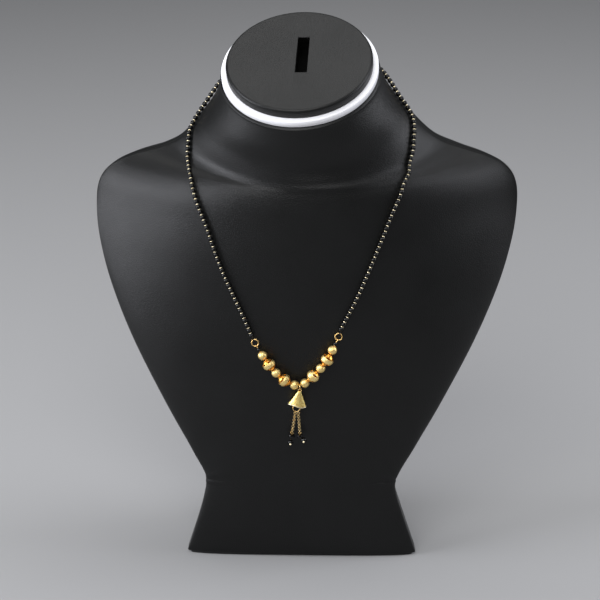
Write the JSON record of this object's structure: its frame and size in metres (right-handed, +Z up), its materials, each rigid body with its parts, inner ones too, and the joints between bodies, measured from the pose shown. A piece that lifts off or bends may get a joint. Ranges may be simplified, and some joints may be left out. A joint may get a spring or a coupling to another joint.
{
  "type": "mangalsutra necklace on a neck bust",
  "caption": "Short mangalsutra of small black beads with a gold ball section and a bell pendant with chain tassels, lying on a flat-backed black leatherette neck bust.",
  "frame": {"origin": "middle of the bust's foot on the surface that it stands on", "axes": "+Z up, -Y the way the bust faces, +X to the right as seen from the front"},
  "size_m": [0.2254, 0.086, 0.2918],
  "materials": {
    "leatherette": "black grained leatherette, slightly glossy",
    "base_board": "matt black covered board",
    "white_board": "smooth white board edge",
    "black_glass": "opaque black glass, polished",
    "thread": "twisted black nylon thread",
    "gold": "polished yellow gold",
    "frosted_gold": "frosted yellow gold with polished recesses",
    "textured_gold": "yellow gold with fine ribs and a bright rim"
  },
  "bodies": {
    "root": {"bust_body": "leatherette", "base_board": "base_board", "neck_board": "white_board", "neck_pad": "leatherette", "black_beads_left": "black_glass", "black_beads_right": "black_glass", "bead_thread": "thread", "clasp": "gold", "jump_ring_left": "gold", "jump_ring_right": "gold", "front_bead_left": "black_glass", "front_bead_right": "black_glass", "front_wire": "gold", "gold_ball_small_1": "frosted_gold", "gold_ball_small_2": "frosted_gold", "gold_ball_small_3": "frosted_gold", "gold_ball_small_4": "frosted_gold", "gold_ball_small_5": "frosted_gold", "gold_ball_small_6": "frosted_gold", "gold_ball_large_1": "frosted_gold", "gold_ball_large_2": "frosted_gold", "gold_ball_large_3": "frosted_gold", "gold_ball_large_4": "frosted_gold", "pendant_bail": "gold", "pendant_bell": "textured_gold", "tassel_ring": "gold", "tassel_chain_left": "gold", "tassel_chain_right": "gold", "tassel_cap_bead_left": "black_glass", "tassel_cap_bead_right": "black_glass", "tassel_drop_bead_left": "black_glass", "tassel_drop_bead_right": "black_glass", "tassel_pin_left": "gold", "tassel_pin_right": "gold"}
  },
  "joints": []
}
